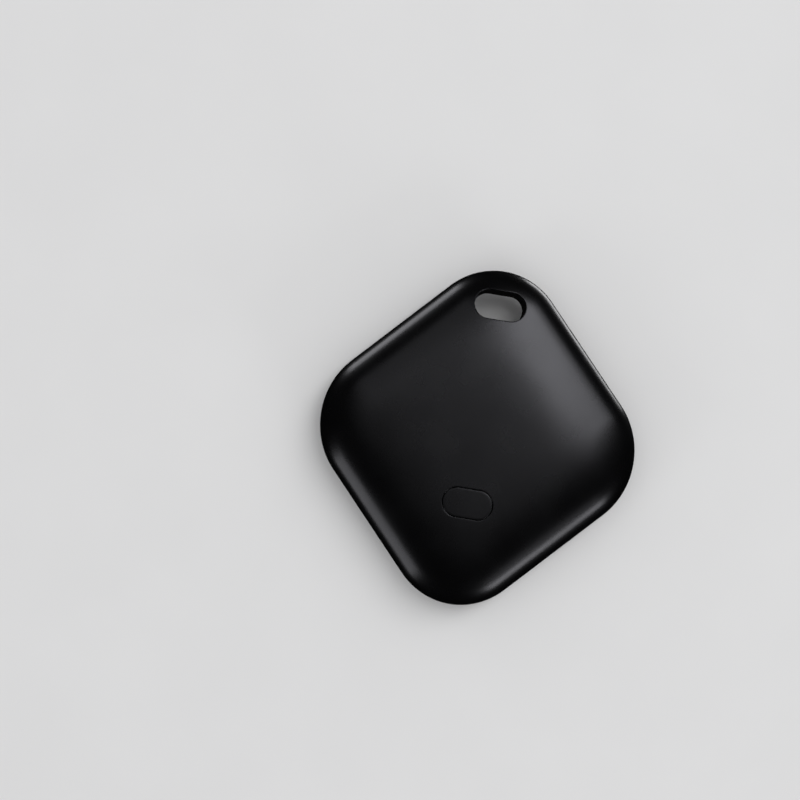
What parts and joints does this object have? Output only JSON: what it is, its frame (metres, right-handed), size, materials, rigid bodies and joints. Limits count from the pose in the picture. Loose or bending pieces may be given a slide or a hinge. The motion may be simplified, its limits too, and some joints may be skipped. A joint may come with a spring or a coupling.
{
  "type": "bluetooth tracker tag",
  "caption": "Rounded-square, pillow-shaped tracker tag with a key-ring slot at one corner, a flush front button and a pull-off rear cover over a coin cell.",
  "frame": {"origin": "centre of the flat rear face", "axes": "+Z out of the domed front, +Y from the button towards the key-ring slot, +X to the right"},
  "size_m": [0.045, 0.048, 0.0088],
  "materials": {
    "satin_black": "satin, fine moulded texture",
    "frame_plastic": "fine spark-eroded texture",
    "seal_rubber": "matt silicone",
    "foam": "open-cell foam",
    "board_mask": "solder mask over glass laminate",
    "chip_resin": "moulded resin",
    "capacitor_ceramic": "fired ceramic",
    "white_ceramic": "fired ceramic",
    "spring_steel": "rolled, nickel plated",
    "brass_plate": "rolled",
    "cell_steel": "rolled stainless",
    "cell_gasket": "moulded",
    "cathode": "pressed powder",
    "lithium": "dull"
  },
  "bodies": {
    "rear_cover": {"rear_cover": "satin_black", "cell_pad": "foam"},
    "case": {"front_cover": "satin_black", "seal_ring": "seal_rubber", "battery_frame": "frame_plastic", "circuit_board": "board_mask", "positive_contact_right": "spring_steel", "positive_contact_left": "spring_steel", "negative_contact": "spring_steel", "switch_base": "chip_resin", "switch_cover": "spring_steel", "switch_dome": "spring_steel", "piezo_adhesive": "foam", "piezo_plate": "brass_plate", "piezo_ceramic": "white_ceramic", "sounder_spring_ceramic": "spring_steel", "sounder_spring_plate": "spring_steel", "bluetooth_chip": "chip_resin", "main_crystal": "spring_steel", "clock_crystal": "chip_resin", "chip_antenna": "white_ceramic", "boost_inductor": "chip_resin", "driver_transistor": "chip_resin", "capacitor_1": "capacitor_ceramic", "capacitor_2": "capacitor_ceramic", "capacitor_3": "capacitor_ceramic", "capacitor_4": "capacitor_ceramic", "capacitor_5": "capacitor_ceramic", "capacitor_6": "capacitor_ceramic", "resistor_1": "chip_resin", "resistor_2": "chip_resin", "resistor_3": "chip_resin", "resistor_4": "chip_resin", "matching_inductor_1": "white_ceramic", "matching_inductor_2": "white_ceramic"},
    "button": {"button_cap": "satin_black"},
    "plunger": {"switch_plunger": "white_ceramic"},
    "coin_cell": {"cell_can": "cell_steel", "cell_gasket": "cell_gasket", "cell_cap": "cell_steel", "cell_cathode": "cathode", "cell_separator": "cell_gasket", "cell_anode": "lithium"}
  },
  "joints": [
    {"name": "button_press", "type": "slide", "parent": "case", "child": "button", "axis": [0, 0, -1], "range_m": [0, 0.00025], "stiffness_N_per_m": 2000, "springref_m": -0.0003},
    {"name": "switch_press", "type": "slide", "parent": "case", "child": "plunger", "axis": [0, 0, -1], "range_m": [0, 0.00025], "deforming": ["switch_dome"]},
    {"name": "case_release", "type": "slide", "parent": "rear_cover", "child": "case", "axis": [0, 0, 1], "range_m": [0, 0.03]},
    {"name": "cell_release", "type": "slide", "parent": "rear_cover", "child": "coin_cell", "axis": [0, 0, 1], "range_m": [0, 0.015]}
  ],
  "couplings": [
    {"joint": "switch_press", "follows": "button_press", "ratio": 1},
    {"joint": "cell_release", "follows": "case_release", "ratio": 0.5}
  ]
}
